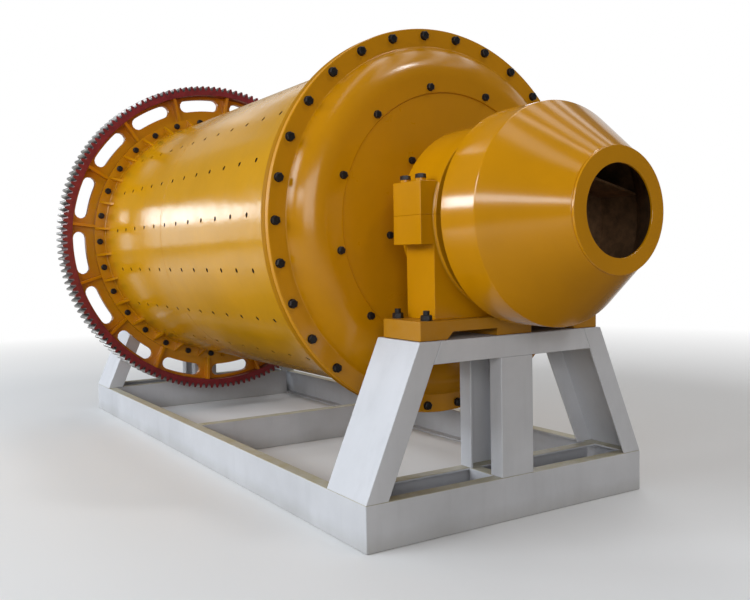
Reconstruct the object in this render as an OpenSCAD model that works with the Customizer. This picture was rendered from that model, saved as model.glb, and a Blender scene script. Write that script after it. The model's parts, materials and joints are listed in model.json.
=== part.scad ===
// Ball mill on its transport stand, millimetres.
// X runs along the mill axis towards the feed end, Z up, origin on the floor under the middle.

/* [Shell] */
// Length of the shell over its two flanges
shell_len = 3655; // [3000:5:4400]
// Outside radius of the shell plate
shell_r = 1072; // [1000:1:1090]
// Thickness of the shell plate
shell_t = 22; // [14:1:32]
// Radius of a liner bolt hole
hole_r = 16; // [8:1:24]
// Distance between two liner bolt holes of one row
hole_pitch = 250; // [200:1:260]
// Liner bolt holes in one row
hole_count = 12; // [1:1:12]
// Rows of liner bolt holes that are cut through the plate
hole_rows = 1; // [1:1:20]
// Angle between two rows, in degrees
row_step = 18; // [18:1:36]
// Angle of the first row from the top, in degrees
row_turn = 50.6; // [0:0.1:90]

/* [Shell flanges] */
// Height of the flanges above the shell plate
flange_h = 93; // [80:1:120]
// Thickness of a shell flange
flange_t = 50; // [30:1:60]
// Flange bolts, with one gusset between each pair on the gear side
bolt_count = 30; // [24:1:36]
// Angle of the first flange bolt from the top, in degrees
bolt_turn = 7.1; // [0:0.1:12]
// Length of a gusset along the shell
gusset_len = 145; // [80:1:220]
// Thickness of a gusset
gusset_t = 20; // [10:1:30]
// How far a gusset's tip stays inside the flange's rim
gusset_inset = 3; // [1:1:20]

/* [End covers] */
// Thickness of the cover's flat bolted ring
cover_t = 40; // [30:1:60]
// Thickness of the dished wall of the cover
dish_wall = 45; // [35:1:60]
// Height of the dish above the bolted ring
dish_h = 125; // [110:1:150]
// Width of the cover's bolted ring, outside the dish
bolted_ring_w = 110; // [105:1:135]
// Width of the dish, seen from the end
dish_w = 194; // [170:1:220]
// Width of the flat ring inside the dish
inner_ring_w = 96; // [70:1:110]

/* [Trunnions] */
// Thickness of the trunnion's disc
disc_t = 60; // [50:1:75]
// How far the disc is set back behind the cover's inner ring
disc_set = 8; // [2:1:15]
// How far the trunnion's flange reaches behind the cover's inner ring
disc_overlap = 70; // [40:1:80]
// Thickness of the trunnion's flange behind the cover
disc_flange_t = 40; // [25:1:45]
// Radius of the journal
journal_r = 350; // [320:1:370]
// Radius of the feed trunnion's bore
trunnion_bore_r = 230; // [200:1:240]
// Radius of the discharge trunnion's bore, a little wider so that the ground ore runs out
discharge_bore_r = 250; // [245:1:270]
// Radius of the round between the disc and the journal
neck_round = 60; // [30:1:80]

/* [Ring gear] */
// Gear module
gear_module = 18; // [16:0.1:19]
// Face width of the ring gear
gear_w = 250; // [200:1:300]
// Thickness of the gear rim under the teeth
rim_t = 45.5; // [20:0.5:60]
// Height of the web between the shell's flange and the gear rim
web_h = 207; // [190:1:230]
// Thickness of the gear's web plate
web_t = 50; // [30:1:60]
// Slots in the web
slot_count = 16; // [8:1:16]
// Distance from the gear rim to the slots
slot_edge = 27; // [20:1:40]
// Width of the slots, measured outwards from the mill axis
slot_w = 110; // [80:1:120]
// Angle that one slot covers, in degrees
slot_span = 17.1; // [10:0.1:18]
// Angle of the first slot's middle from the top, in degrees
slot_turn = 5.4; // [0:0.1:22]
// Thickness of the ribs between the slots
rib_t = 26; // [16:1:40]
// Depth of a rib at the rim
rib_rim_h = 90; // [60:1:95]
// Depth of a rib at the hub side
rib_hub_h = 48; // [30:1:60]

/* [Feeder] */
// Gap between the feed bearing's outer face and the feeder
feeder_gap = 113.5; // [80:0.5:150]
// Radius of the feeder's band
band_r = 578; // [560:1:620]
// Width of the band
band_w = 264; // [200:1:320]
// Length of the feeder's cone
cone_len = 367; // [300:1:450]
// Radius of the mouth's outer edge
mouth_r = 308; // [290:1:340]
// Radius of the mouth's opening
mouth_bore_r = 225; // [200:1:240]
// Plate thickness of the feeder
feeder_t = 14; // [10:1:20]
// Gap between the trunnion's bore and the scoop plate
scoop_gap = 10; // [5:1:30]
// How far the scoop plate reaches past the middle of the bore
scoop_in = 100; // [0:1:200]
// Thickness of the scoop plate
scoop_t = 12; // [8:1:16]
// Angle of the scoop about the axis, in degrees
scoop_turn = 14; // [0:1:45]

/* [Discharge end] */
// Length of the discharge collar past the bearing
collar_len = 128.5; // [60:0.5:200]
// Radius of the discharge collar
collar_r = 400; // [370:1:430]
// Thickness of the discharge collar's flange
collar_t = 30; // [20:1:50]

/* [Bearings] */
// Gap between the gear side cover and its bearing
bearing_gap = 147; // [120:0.5:180]
// Width of a bearing's round body along the axis
bearing_w = 329; // [300:1:350]
// Outside radius of the bearing's round body
cap_r = 522; // [480:1:560]
// Width of the pedestal and of the joint lugs along the axis
pedestal_w = 252; // [220:1:280]
// Distance from the middle to the side of the pedestal
pedestal_y = 507; // [460:1:540]
// Wall of the bearing bush
bush_t = 50; // [30:1:70]
// Running clearance between journal and bush
journal_gap = 0.3; // [0.1:0.05:0.6]
// How far the bush stays inside the housing at each end
bush_inset = 10; // [4:1:30]
// Distance from the axis to the outer face of a joint lug
lug_y = 590; // [570:1:620]
// How far the joint between cap and housing lies above the axis
split_up = 16; // [0:1:20]
// Height of the lug on the cap
lug_up = 177; // [120:1:200]
// Height of the lug on the housing
lug_down = 153; // [120:1:200]
// Height of the axis above the sole plate
sole_drop = 534; // [525:1:560]
// Height of the sole plate
sole_h = 104; // [80:1:120]
// How far the sole plate reaches past the bearing along the axis
sole_margin = 9.5; // [5:0.5:25]
// Length of the sole plate across the mill
sole_l = 1275; // [1240:1:1300]
// Height of the notches under the sole plate
notch_h = 40; // [15:1:45]
// Distance from the middle to the inner end of a notch
notch_in = 125; // [60:1:140]
// Distance from the middle to the outer end of a notch
notch_out = 463; // [380:1:480]

/* [Stand] */
// Height of the mill axis above the floor
axis_h = 1666; // [1600:1:1800]
// Width of the base frame
base_w = 1988; // [1850:1:2100]
// Height of the base channels
base_h = 244; // [200:1:260]
// Flange width of the base channels
base_flange = 78; // [60:1:100]
// Width of the legs and the top beams along the axis
leg_w = 398; // [380:1:400]
// Width of a leg seen from the end of the mill
leg_d = 125; // [90:1:140]
// How far the top beams and the legs reach past the sole plate across the mill
top_margin = 15.5; // [5:0.5:40]
// How far the stand reaches past the sole plate at its ends
end_margin = 17; // [5:1:30]
// Height of the top beams
top_h = 120; // [80:1:140]
// Width of the posts under the top beams
post_w = 228; // [180:1:300]
// How far the back face of the posts stays in front of the legs' back
post_set = 30; // [0:1:80]
// Flange width of the posts' channels
post_flange = 98; // [70:1:120]
// Web thickness of the channels
steel_web = 12; // [8:1:16]
// Flange thickness of the channels
steel_flange = 15; // [10:1:18]
// Distance from the middle to the web of the middle crossbeam
cross_mid_x = 110; // [0:1:300]

/* [Hidden] */

// How finely round surfaces are drawn
fine = 96;
// Extra reach of a cutting tool past the face that it cuts
over = 1;

half_shell = shell_len / 2;
bolt_step = 360 / bolt_count;

// Radii of the flanges and of the covers, from the rim inwards
flange_r = shell_r + flange_h;
dish_r = flange_r - bolted_ring_w;
ring_r = dish_r - dish_w;
cover_bore_r = ring_r - inner_ring_w;
disc_flange_r = cover_bore_r + disc_overlap;
dish_bend = (pow(dish_w, 2) + pow(dish_h, 2)) / (2 * dish_h);
inner_dish_r = ring_r + sqrt(pow(dish_bend - dish_wall, 2) - pow(dish_bend - dish_h - cover_t, 2));

// Places along the axis: the outer face of each cover's bolted ring, the bearings and the feeder
feed_face = half_shell + cover_t;
gear_face = half_shell + web_t + cover_t;
housing_in = gear_face + dish_h + bearing_gap;
housing_out = housing_in + bearing_w;
bearing_x = housing_in + bearing_w / 2;
pedestal_in = bearing_x - pedestal_w / 2;
split_z = axis_h + split_up;
feeder_x = housing_out + feeder_gap;
mouth_x = feeder_x + band_w + cone_len + feeder_t;

// Ring gear: as many whole teeth as fit round the rim
tooth_count = round(2 * (flange_r + web_h + rim_t) / gear_module + 2.5);
pitch_r = gear_module * tooth_count / 2;
tip_r = pitch_r + gear_module;
root_r = pitch_r - 1.25 * gear_module;
rim_in_r = root_r - rim_t;
tooth_step = 360 / tooth_count;
web_mid = half_shell + web_t / 2;
slot_out_r = rim_in_r - slot_edge;
slot_in_r = slot_out_r - slot_w;

// The stand's places, from the sole plates that it carries
sole_top = axis_h - sole_drop;
sole_in = housing_in - sole_margin;
sole_w = bearing_w + 2 * sole_margin;
top_z = sole_top - sole_h;
base_l = 2 * (sole_in + sole_w + end_margin);
leg_top_y = sole_l / 2 + top_margin;
post_depth = leg_w - post_set;

// Turns a shape drawn along Z so that it lies along the mill axis
module on_axis(x = 0) {
    translate([x, 0, axis_h]) rotate([0, 90, 0]) children();
}

// Turns a body about the mill axis, by an angle from the top towards the left side
module turned(a) {
    translate([0, 0, axis_h]) rotate([a, 0, 0]) translate([0, 0, -axis_h]) children();
}

// A mirror copy for the gear end of the stand
module at_gear_end() {
    mirror([1, 0, 0]) children();
}

module ring(r_out, r_in, len) {
    difference() {
        cylinder(r = r_out, h = len, $fn = fine);
        translate([0, 0, -over]) cylinder(r = r_in, h = len + 2 * over, $fn = fine);
    }
}

// Shell
module shell() {
    color([0.86, 0.62, 0.1])
    difference() {
        on_axis(-half_shell) ring(shell_r, shell_r - shell_t, shell_len);
        for (row = [0 : hole_rows - 1])
            for (k = [0 : hole_count - 1])
                turned(row_turn + row * row_step)
                translate([(k - (hole_count - 1) / 2) * hole_pitch, 0, axis_h + shell_r - 2 * shell_t])
                cylinder(r = hole_r, h = 3 * shell_t, $fn = 24);
    }
}

module flange_ring() {
    ring(flange_r, shell_r, flange_t);
}

module feed_flange() {
    color([0.84, 0.6, 0.08]) on_axis(half_shell - flange_t) flange_ring();
}

// Triangular plate between the gear side flange and the shell
module gusset() {
    back = half_shell - flange_t;
    translate([0, gusset_t / 2, axis_h])
    rotate([90, 0, 0])
    linear_extrude(height = gusset_t)
    polygon([[-back - flange_t / 2, shell_r - over], [-back - flange_t / 2, flange_r - gusset_inset],
        [-back, flange_r - gusset_inset], [-back + gusset_len, shell_r + gusset_inset],
        [-back + gusset_len, shell_r - over]]);
}

module gear_flange() {
    color([0.84, 0.6, 0.08]) {
        difference() {
            union() {
                on_axis(-half_shell) ring(flange_r, shell_r - over, flange_t);
                for (k = [0 : bolt_count - 1]) turned(bolt_turn + (k + 0.5) * bolt_step) gusset();
            }
            on_axis(-half_shell - over) cylinder(r = shell_r, h = shell_len, $fn = fine);
        }
    }
}

// End covers: half section of the dished cover, radius across and height up
module cover_section() {
    bend_x = dish_h - dish_bend;
    translate([inner_dish_r, -cover_t]) square([flange_r - inner_dish_r, cover_t]);
    intersection() {
        difference() {
            translate([ring_r, bend_x]) circle(r = dish_bend, $fn = fine);
            translate([ring_r, bend_x]) circle(r = dish_bend - dish_wall, $fn = fine);
        }
        translate([ring_r, -cover_t]) square([dish_r - ring_r, dish_h + cover_t]);
    }
    translate([cover_bore_r, dish_h - dish_wall]) square([ring_r - cover_bore_r, dish_wall]);
}

module cover() {
    rotate_extrude($fn = fine) cover_section();
}

module feed_cover() {
    color([0.8, 0.55, 0.05]) on_axis(feed_face) cover();
}

module gear_cover() {
    color([0.8, 0.55, 0.05]) at_gear_end() on_axis(gear_face) cover();
}

// Trunnions: half section, height up from the cover's bolted face, journal end at a given height
module trunnion_section(end, bore_r) {
    face = dish_h - disc_set;
    back = dish_h - dish_wall;
    difference() {
        union() {
            translate([0, back - disc_flange_t]) square([disc_flange_r, disc_flange_t]);
            translate([0, face - disc_t]) square([cover_bore_r, disc_t]);
            square([journal_r + neck_round, face + neck_round]);
            square([journal_r, end]);
        }
        translate([0, back - disc_flange_t - disc_t]) square([bore_r, end + disc_t + neck_round]);
        translate([0, -over]) square([journal_r + neck_round, back - disc_flange_t + over]);
        translate([journal_r + neck_round, face + neck_round]) circle(r = neck_round, $fn = fine);
    }
}

module feed_trunnion() {
    color([0.72, 0.48, 0.04])
    on_axis(feed_face) rotate_extrude($fn = fine) trunnion_section(feeder_x - feed_face, trunnion_bore_r);
}

module gear_trunnion() {
    color([0.72, 0.48, 0.04])
    at_gear_end() on_axis(gear_face)
    rotate_extrude($fn = fine)
    trunnion_section(housing_out + collar_len - gear_face, discharge_bore_r);
}

// Ring gear: outline of one tooth after another, with straight-sided flanks in three steps
function tooth_point(k, turn, r) = [r * cos((k + turn) * tooth_step), r * sin((k + turn) * tooth_step)];
function gear_outline() = [for (k = [0 : tooth_count - 1]) each [
    tooth_point(k, -0.36, root_r), tooth_point(k, -0.25, pitch_r), tooth_point(k, -0.13, tip_r),
    tooth_point(k, 0.13, tip_r), tooth_point(k, 0.25, pitch_r), tooth_point(k, 0.36, root_r)]];

module ring_gear() {
    color([0.55, 0.12, 0.1])
    on_axis(-web_mid - gear_w / 2)
    difference() {
        linear_extrude(height = gear_w) polygon(gear_outline());
        translate([0, 0, -over]) cylinder(r = rim_in_r, h = gear_w + 2 * over, $fn = fine);
    }
}

// Web of the ring gear, with curved slots and a rib between each pair
function arc_point(r, a) = [r * cos(a), r * sin(a)];
slot_end_r = (slot_out_r - slot_in_r) / 2;
slot_mid_r = (slot_out_r + slot_in_r) / 2;
slot_half = slot_span / 2 - asin(slot_end_r / slot_mid_r);
slot_steps = 6;
function slot_outline() = concat(
    [for (i = [0 : slot_steps]) arc_point(slot_out_r, -slot_half + 2 * slot_half * i / slot_steps)],
    [for (i = [1 : slot_steps - 1]) slot_mid_r * [cos(slot_half), sin(slot_half)]
        + arc_point(slot_end_r, slot_half + 180 * i / slot_steps)],
    [for (i = [0 : slot_steps]) arc_point(slot_in_r, slot_half - 2 * slot_half * i / slot_steps)],
    [for (i = [1 : slot_steps - 1]) slot_mid_r * [cos(slot_half), -sin(slot_half)]
        + arc_point(slot_end_r, 180 - slot_half + 180 * i / slot_steps)]);

// Rib seen from its side: radius across, depth from the web's middle up
module web_rib() {
    translate([0, rib_t / 2, 0]) rotate([90, 0, 0]) linear_extrude(height = rib_t)
    polygon([[flange_r - over, 0], [rim_in_r + over, 0],
        [rim_in_r + over, web_t / 2 + rib_rim_h], [flange_r - over, web_t / 2 + rib_hub_h]]);
}

module gear_web() {
    color([0.85, 0.5, 0.05])
    on_axis(-web_mid)
    intersection() {
        union() {
            translate([0, 0, -web_t / 2])
            difference() {
                ring(rim_in_r, shell_r - shell_t, web_t);
                for (k = [0 : slot_count - 1])
                    rotate([0, 0, 180 + slot_turn + k * 360 / slot_count])
                    translate([0, 0, -over])
                    linear_extrude(height = web_t + 2 * over) polygon(slot_outline());
            }
            difference() {
                for (k = [0 : slot_count - 1])
                    rotate([0, 0, 180 + slot_turn + (k + 0.5) * 360 / slot_count]) {
                        web_rib();
                        mirror([0, 0, 1]) web_rib();
                    }
                translate([0, 0, -gear_w]) cylinder(r = flange_r, h = 2 * gear_w, $fn = fine);
            }
        }
        translate([0, 0, -gear_w / 2]) cylinder(r = rim_in_r, h = gear_w, $fn = fine);
    }
}

// Feeder: a drum of plate on the end of the feed trunnion
module feeder_back() {
    color([0.78, 0.54, 0.04]) on_axis(feeder_x) ring(band_r - feeder_t, trunnion_bore_r, feeder_t);
}

module feeder_shell() {
    color([0.85, 0.6, 0.06])
    on_axis(feeder_x)
    rotate_extrude($fn = fine)
    polygon([[band_r - feeder_t, 0], [band_r, 0], [band_r, band_w], [mouth_r, band_w + cone_len],
        [mouth_r - feeder_t, band_w + cone_len], [band_r - feeder_t, band_w]]);
}

module feeder_mouth() {
    color([0.78, 0.54, 0.04])
    on_axis(mouth_x - feeder_t) ring(mouth_r, mouth_bore_r, feeder_t);
}

// Scoop inside the feeder: one plate from the band's wall to the top of the trunnion's bore
module feeder_scoop() {
    color([0.45, 0.32, 0.1])
    intersection() {
        on_axis(feeder_x + feeder_t) cylinder(r = band_r - feeder_t, h = band_w - feeder_t, $fn = fine);
        turned(-scoop_turn)
        translate([feeder_x, -scoop_in, axis_h + trunnion_bore_r + scoop_gap])
        cube([band_w, scoop_in + band_r, scoop_t]);
    }
}

module discharge_collar() {
    color([0.78, 0.54, 0.04])
    at_gear_end() on_axis(housing_out + collar_len - collar_t) ring(collar_r, journal_r, collar_t);
}

// Bearings
module bush() {
    on_axis(housing_in + bush_inset)
    ring(journal_r + journal_gap + bush_t, journal_r + journal_gap, bearing_w - 2 * bush_inset);
}

module housing_cut() {
    on_axis(housing_in - over)
    cylinder(r = journal_r + journal_gap + bush_t, h = bearing_w + 2 * over, $fn = fine);
}

module round_body() {
    on_axis(housing_in) cylinder(r = cap_r, h = bearing_w, $fn = fine);
}

module housing() {
    difference() {
        union() {
            intersection() {
                round_body();
                translate([housing_in, -cap_r, axis_h - cap_r]) cube([bearing_w, 2 * cap_r, cap_r + split_up]);
            }
            translate([pedestal_in, -pedestal_y, sole_top])
            cube([pedestal_w, 2 * pedestal_y, split_z - sole_top]);
            translate([pedestal_in, -lug_y, split_z - lug_down]) cube([pedestal_w, 2 * lug_y, lug_down]);
        }
        housing_cut();
    }
}

module cap() {
    difference() {
        union() {
            intersection() {
                round_body();
                translate([housing_in, -cap_r, split_z]) cube([bearing_w, 2 * cap_r, cap_r]);
            }
            translate([pedestal_in, -lug_y, split_z]) cube([pedestal_w, 2 * lug_y, lug_up]);
        }
        housing_cut();
    }
}

module sole() {
    difference() {
        translate([sole_in, -sole_l / 2, top_z]) cube([sole_w, sole_l, sole_h]);
        for (side = [0, 1]) mirror([0, side, 0])
            translate([sole_in - over, 0, top_z - over]) rotate([90, 0, 90])
            linear_extrude(height = sole_w + 2 * over)
            polygon([[notch_in, 0], [notch_out, 0], [notch_out - notch_h, notch_h + over],
                [notch_in, notch_h + over]]);
    }
}

module feed_bush() { color([0.7, 0.62, 0.4]) bush(); }
module gear_bush() { color([0.7, 0.62, 0.4]) at_gear_end() bush(); }
module feed_housing() { color([0.8, 0.56, 0.05]) housing(); }
module gear_housing() { color([0.8, 0.56, 0.05]) at_gear_end() housing(); }
module feed_cap() { color([0.84, 0.6, 0.06]) cap(); }
module gear_cap() { color([0.84, 0.6, 0.06]) at_gear_end() cap(); }
module feed_sole() { color([0.76, 0.52, 0.05]) sole(); }
module gear_sole() { color([0.76, 0.52, 0.05]) at_gear_end() sole(); }

// Channel section, web on the X = 0 side, flanges towards +X, height along Y
module channel_section(h, w) {
    difference() {
        square([w, h]);
        translate([steel_web, steel_flange]) square([w, h - 2 * steel_flange]);
    }
}

// Base frame: plan of one side's share, cut at 45 degrees where two beams meet at a corner
module mitre(len, width) {
    translate([0, 0, -over]) linear_extrude(height = base_h + 2 * over)
    polygon([[-len / 2, -width / 2], [len / 2, -width / 2],
        [len / 2 - base_flange, base_flange - width / 2],
        [base_flange - len / 2, base_flange - width / 2]]);
}

// A beam of the outer frame, its web's outer face at -Y
module frame_beam(len, width) {
    intersection() {
        translate([-len / 2, -width / 2, 0]) rotate([90, 0, 90])
        linear_extrude(height = len) channel_section(base_h, base_flange);
        mitre(len, width);
    }
}

module side_beam() {
    frame_beam(base_l, base_w);
}

module end_beam() {
    rotate([0, 0, 90]) frame_beam(base_w, base_l);
}

// A channel laid between the side beams, its web's outer face at x, flanges towards -X
module cross_channel(x) {
    reach = base_w - 2 * base_flange;
    translate([x, reach / 2, 0]) mirror([1, 0, 0]) rotate([90, 0, 0])
    linear_extrude(height = reach) channel_section(base_h, base_flange);
}

// The beam under the post's back channel, with its web towards the middle of the mill
module cross_beam() {
    mirror([1, 0, 0]) cross_channel(post_depth - base_l / 2);
}

// Trestle
leg_lean = (base_w / 2 - leg_top_y) / (top_z - base_h);

// A leaning channel with its web outwards
module leg() {
    back = base_l / 2 - leg_w;
    skew = sqrt(1 + leg_lean * leg_lean);
    translate([back, 0, 0])
    rotate([90, 0, 90])
    difference() {
        linear_extrude(height = leg_w)
        polygon([[-base_w / 2, base_h], [-leg_top_y, top_z], [-leg_top_y + leg_d * skew, top_z],
            [-base_w / 2 + leg_d * skew, base_h]]);
        translate([0, 0, steel_flange]) linear_extrude(height = leg_w - 2 * steel_flange)
        polygon([[-base_w / 2 + steel_web * skew - leg_lean * over, base_h - over],
            [-leg_top_y + steel_web * skew + leg_lean * over, top_z + over],
            [0, top_z + over], [0, base_h - over]]);
    }
}

// Channel with its web up, that carries the sole plate between the legs
module top_beam() {
    inner_y = leg_top_y - (leg_d + over) * sqrt(1 + leg_lean * leg_lean);
    back = base_l / 2 - leg_w;
    difference() {
        translate([back, 0, 0]) rotate([90, 0, 90]) linear_extrude(height = leg_w)
        polygon([[-inner_y - top_h * leg_lean, top_z - top_h], [-inner_y, top_z],
            [inner_y, top_z], [inner_y + top_h * leg_lean, top_z - top_h]]);
        translate([back + steel_flange, -base_w / 2, top_z - top_h - over])
        cube([leg_w - 2 * steel_flange, base_w, top_h - steel_web + over]);
    }
}

// Two channels, toe to toe, that stand on the end beam and on the crossbeam behind it
module post() {
    foot = base_h;
    height = top_z - top_h - foot;
    for (back = [0, 1])
        translate([base_l / 2 - back * post_depth, 0, foot])
        mirror([1 - back, 0, 0]) translate([0, -post_w / 2, 0])
        linear_extrude(height = height) channel_section(post_w, post_flange);
}

// Short channel under the post, between the end beam and the crossbeam
module sill() {
    reach = post_depth - 2 * base_flange;
    translate([base_l / 2 - post_depth + base_flange, -post_w / 2, 0]) rotate([90, 0, 90])
    linear_extrude(height = reach) channel_section(base_h, base_flange);
}

module feed_top_beam() { color([0.78, 0.78, 0.8]) top_beam(); }
module gear_top_beam() { color([0.78, 0.78, 0.8]) at_gear_end() top_beam(); }
module feed_leg_left() { color([0.88, 0.88, 0.9]) leg(); }
module feed_leg_right() { color([0.88, 0.88, 0.9]) mirror([0, 1, 0]) leg(); }
module gear_leg_left() { color([0.88, 0.88, 0.9]) at_gear_end() leg(); }
module gear_leg_right() { color([0.88, 0.88, 0.9]) mirror([0, 1, 0]) at_gear_end() leg(); }
module feed_post() { color([0.8, 0.8, 0.82]) post(); }
module gear_post() { color([0.8, 0.8, 0.82]) at_gear_end() post(); }
module feed_sill() { color([0.8, 0.8, 0.82]) sill(); }
module gear_sill() { color([0.8, 0.8, 0.82]) at_gear_end() sill(); }
module side_beam_left() { color([0.85, 0.86, 0.88]) side_beam(); }
module side_beam_right() { color([0.85, 0.86, 0.88]) mirror([0, 1, 0]) side_beam(); }
module feed_end_beam() { color([0.8, 0.81, 0.83]) end_beam(); }
module gear_end_beam() { color([0.8, 0.81, 0.83]) at_gear_end() end_beam(); }
module feed_cross_beam() { color([0.8, 0.81, 0.83]) cross_beam(); }
module gear_cross_beam() { color([0.8, 0.81, 0.83]) at_gear_end() cross_beam(); }
module middle_cross_beam() { color([0.8, 0.81, 0.83]) cross_channel(cross_mid_x); }

shell();
feed_flange();
gear_flange();
feed_cover();
gear_cover();
feed_trunnion();
gear_trunnion();
ring_gear();
gear_web();
feeder_back();
feeder_shell();
feeder_mouth();
feeder_scoop();
discharge_collar();
feed_bush();
gear_bush();
feed_housing();
gear_housing();
feed_cap();
gear_cap();
feed_sole();
gear_sole();
feed_top_beam();
gear_top_beam();
feed_leg_left();
feed_leg_right();
gear_leg_left();
gear_leg_right();
feed_post();
gear_post();
feed_sill();
gear_sill();
side_beam_left();
side_beam_right();
feed_end_beam();
gear_end_beam();
feed_cross_beam();
gear_cross_beam();
middle_cross_beam();
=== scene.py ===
"""Ball mill on its stand: the finish and the small pieces, laid out as an add-on."""

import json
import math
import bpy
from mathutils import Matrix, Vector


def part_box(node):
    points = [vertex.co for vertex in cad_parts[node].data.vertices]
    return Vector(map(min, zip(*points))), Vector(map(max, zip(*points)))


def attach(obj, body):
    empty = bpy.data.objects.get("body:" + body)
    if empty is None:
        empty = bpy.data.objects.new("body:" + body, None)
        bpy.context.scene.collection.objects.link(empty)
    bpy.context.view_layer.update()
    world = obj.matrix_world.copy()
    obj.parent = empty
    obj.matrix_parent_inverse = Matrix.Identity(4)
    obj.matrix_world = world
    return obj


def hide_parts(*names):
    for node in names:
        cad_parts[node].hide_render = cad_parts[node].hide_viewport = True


bl_info = {
    "name": "Ball Mill",
    "version": (1, 0, 0),
    "blender": (4, 5, 0),
    "location": "View3D > Sidebar > Ball Mill",
    "description": "Dresses a ball mill's frame with its plates, gear, fasteners, welds and paint",
    "category": "Object",
}

import bmesh
import bpy
from mathutils import Matrix, Vector

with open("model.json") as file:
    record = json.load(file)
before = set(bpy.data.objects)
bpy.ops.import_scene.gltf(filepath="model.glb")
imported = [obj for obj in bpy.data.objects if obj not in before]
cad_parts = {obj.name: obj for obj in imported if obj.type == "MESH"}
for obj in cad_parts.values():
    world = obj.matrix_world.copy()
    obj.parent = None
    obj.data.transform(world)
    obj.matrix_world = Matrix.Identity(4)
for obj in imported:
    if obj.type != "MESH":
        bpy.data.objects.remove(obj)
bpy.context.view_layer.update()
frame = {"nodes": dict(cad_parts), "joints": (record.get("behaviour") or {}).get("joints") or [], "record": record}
AXIS_HEIGHT = frame["joints"][0]["pos_m"][2]
DRUM, STAND = "drum", "stand"


def span(node):
    """Where a CAD node starts and ends along the mill axis."""
    low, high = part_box(node)
    return low.x, high.x


def radius_of(node):
    """Outside radius of a round CAD node, from its height."""
    low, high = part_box(node)
    return (high.z - low.z) / 2


# Sizes that the frame's boxes tell
SHELL_RADIUS = radius_of("shell")
SHELL_FROM, SHELL_TO = span("shell")
FLANGE_RADIUS = radius_of("feed_flange")
FLANGE_THICKNESS = span("feed_flange")[1] - span("feed_flange")[0]
FEED_FLANGE_INSIDE = span("feed_flange")[0]
GEAR_FLANGE_INSIDE = span("gear_flange")[0] + FLANGE_THICKNESS
BASE_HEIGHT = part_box("side_beam_left")[1].z

# Sizes of the frame's pieces that their boxes don't tell
COVER_THICKNESS, COVER_RISE, COVER_BORE = 0.040, 0.125, 0.765
DISC_SET = 0.008
NECK_RADIUS, BUSH_BORE = 0.350, 0.3503
MOUTH_BORE, FEED_BORE, DISCHARGE_BORE = 0.225, 0.230, 0.250
FEEDER_BAND, FEEDER_PLATE = 0.264, 0.014
GEAR_TOOTH = 0.0405
LUG_TOP, BOSS_HEIGHT = 0.193, 0.016

# The shell's ring seam, along the mill and below the plate's surface
SEAM_AT, SEAM_DEPTH = -0.218, 0.0058


# Sizes and colours that a user would change

def a_length(name, description, default, low, high):
    return bpy.props.FloatProperty(
        name=name, description=description, default=default, min=low, max=high, unit="LENGTH")


def a_count(name, description, default, low, high):
    return bpy.props.IntProperty(name=name, description=description, default=default, min=low, max=high)


def an_angle(name, description, degrees):
    return bpy.props.FloatProperty(
        name=name, description=description, default=math.radians(degrees), subtype="ANGLE")


def a_colour(name, description, *default):
    return bpy.props.FloatVectorProperty(
        name=name, description=description, default=default, size=3, subtype="COLOR", min=0, max=1)


class MillSizes(bpy.types.PropertyGroup):
    """Sizes of the mill's plates, fasteners and welds."""

    plate: a_length("Shell plate", "Thickness of the shell plate", 0.022, 0.01, 0.05)
    hole_radius: a_length("Liner hole", "Radius of a liner bolt hole", 0.016, 0.005, 0.025)
    hole_pitch: a_length("Hole pitch", "Distance between liner holes along the shell", 0.250, 0.15, 0.27)
    hole_columns: a_count("Holes in a row", "Liner holes along the shell", 12, 1, 12)
    hole_rows: a_count("Rows of holes", "Rows of liner holes round the shell", 20, 4, 20)
    hole_turn: an_angle("First row", "Angle of the first row from the top", 14.6)
    flange_bolts: a_count("Flange bolts", "Bolts round each flange", 30, 6, 60)
    flange_circle: a_length("Flange bolt circle", "Radius of the flange bolt circle", 1.122, 1.09, 1.14)
    feed_turn: an_angle("First feed side bolt", "Angle of the feed flange's first bolt from the top", 5.5)
    gear_turn: an_angle("First gear side bolt", "Angle of the gear flange's first bolt from the top", 7.1)
    flange_hex: a_length("Flange bolt head", "Width across the flats of a flange bolt", 0.045, 0.03, 0.07)
    cover_bolts: a_count("Cover bolts", "Bolts round the inner ring of each cover", 12, 6, 24)
    cover_circle: a_length("Cover bolt circle", "Radius of the cover bolt circle", 0.802, 0.78, 0.84)
    cover_turn: an_angle("First cover bolt", "Angle of the first cover bolt from the top", 11.5)
    cover_hex: a_length("Cover bolt head", "Width across the flats of a cover bolt", 0.038, 0.03, 0.06)
    neck_bolts: a_count("Neck bolts", "Bolts round the trunnion's neck", 6, 4, 12)
    neck_circle: a_length(
        "Neck bolt circle", "Radius of the bolt circle round the trunnion's neck", 0.461, 0.44, 0.6)
    neck_hex: a_length("Neck bolt head", "Width across the flats of a neck bolt", 0.036, 0.02, 0.05)
    neck_turn: an_angle("First neck bolt", "Angle of the first neck bolt from the top", 39.6)
    foot_hex: a_length(
        "Bearing bolt", "Width across the flats of the bearings' bolts and nuts", 0.050, 0.03, 0.07)
    foot_length: a_length(
        "Foot bolt distance", "Distance between two foot bolts along the mill", 0.264, 0.2, 0.3)
    foot_width: a_length(
        "Foot bolt width", "Distance between the foot bolts across the mill", 1.136, 1.1, 1.2)
    lug_length: a_length(
        "Lug bolt distance", "Distance between two lug bolts along the mill", 0.140, 0.1, 0.18)
    lug_width: a_length(
        "Lug bolt width", "Distance between the lug bolts across the mill", 1.092, 1.08, 1.13)
    weld: a_length("Weld bead", "Radius of a weld bead", 0.007, 0.003, 0.012)
    flange_weld: a_length(
        "Flange weld bead", "Radius of the weld bead between the shell and its flanges", 0.012, 0.005, 0.016)


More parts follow.
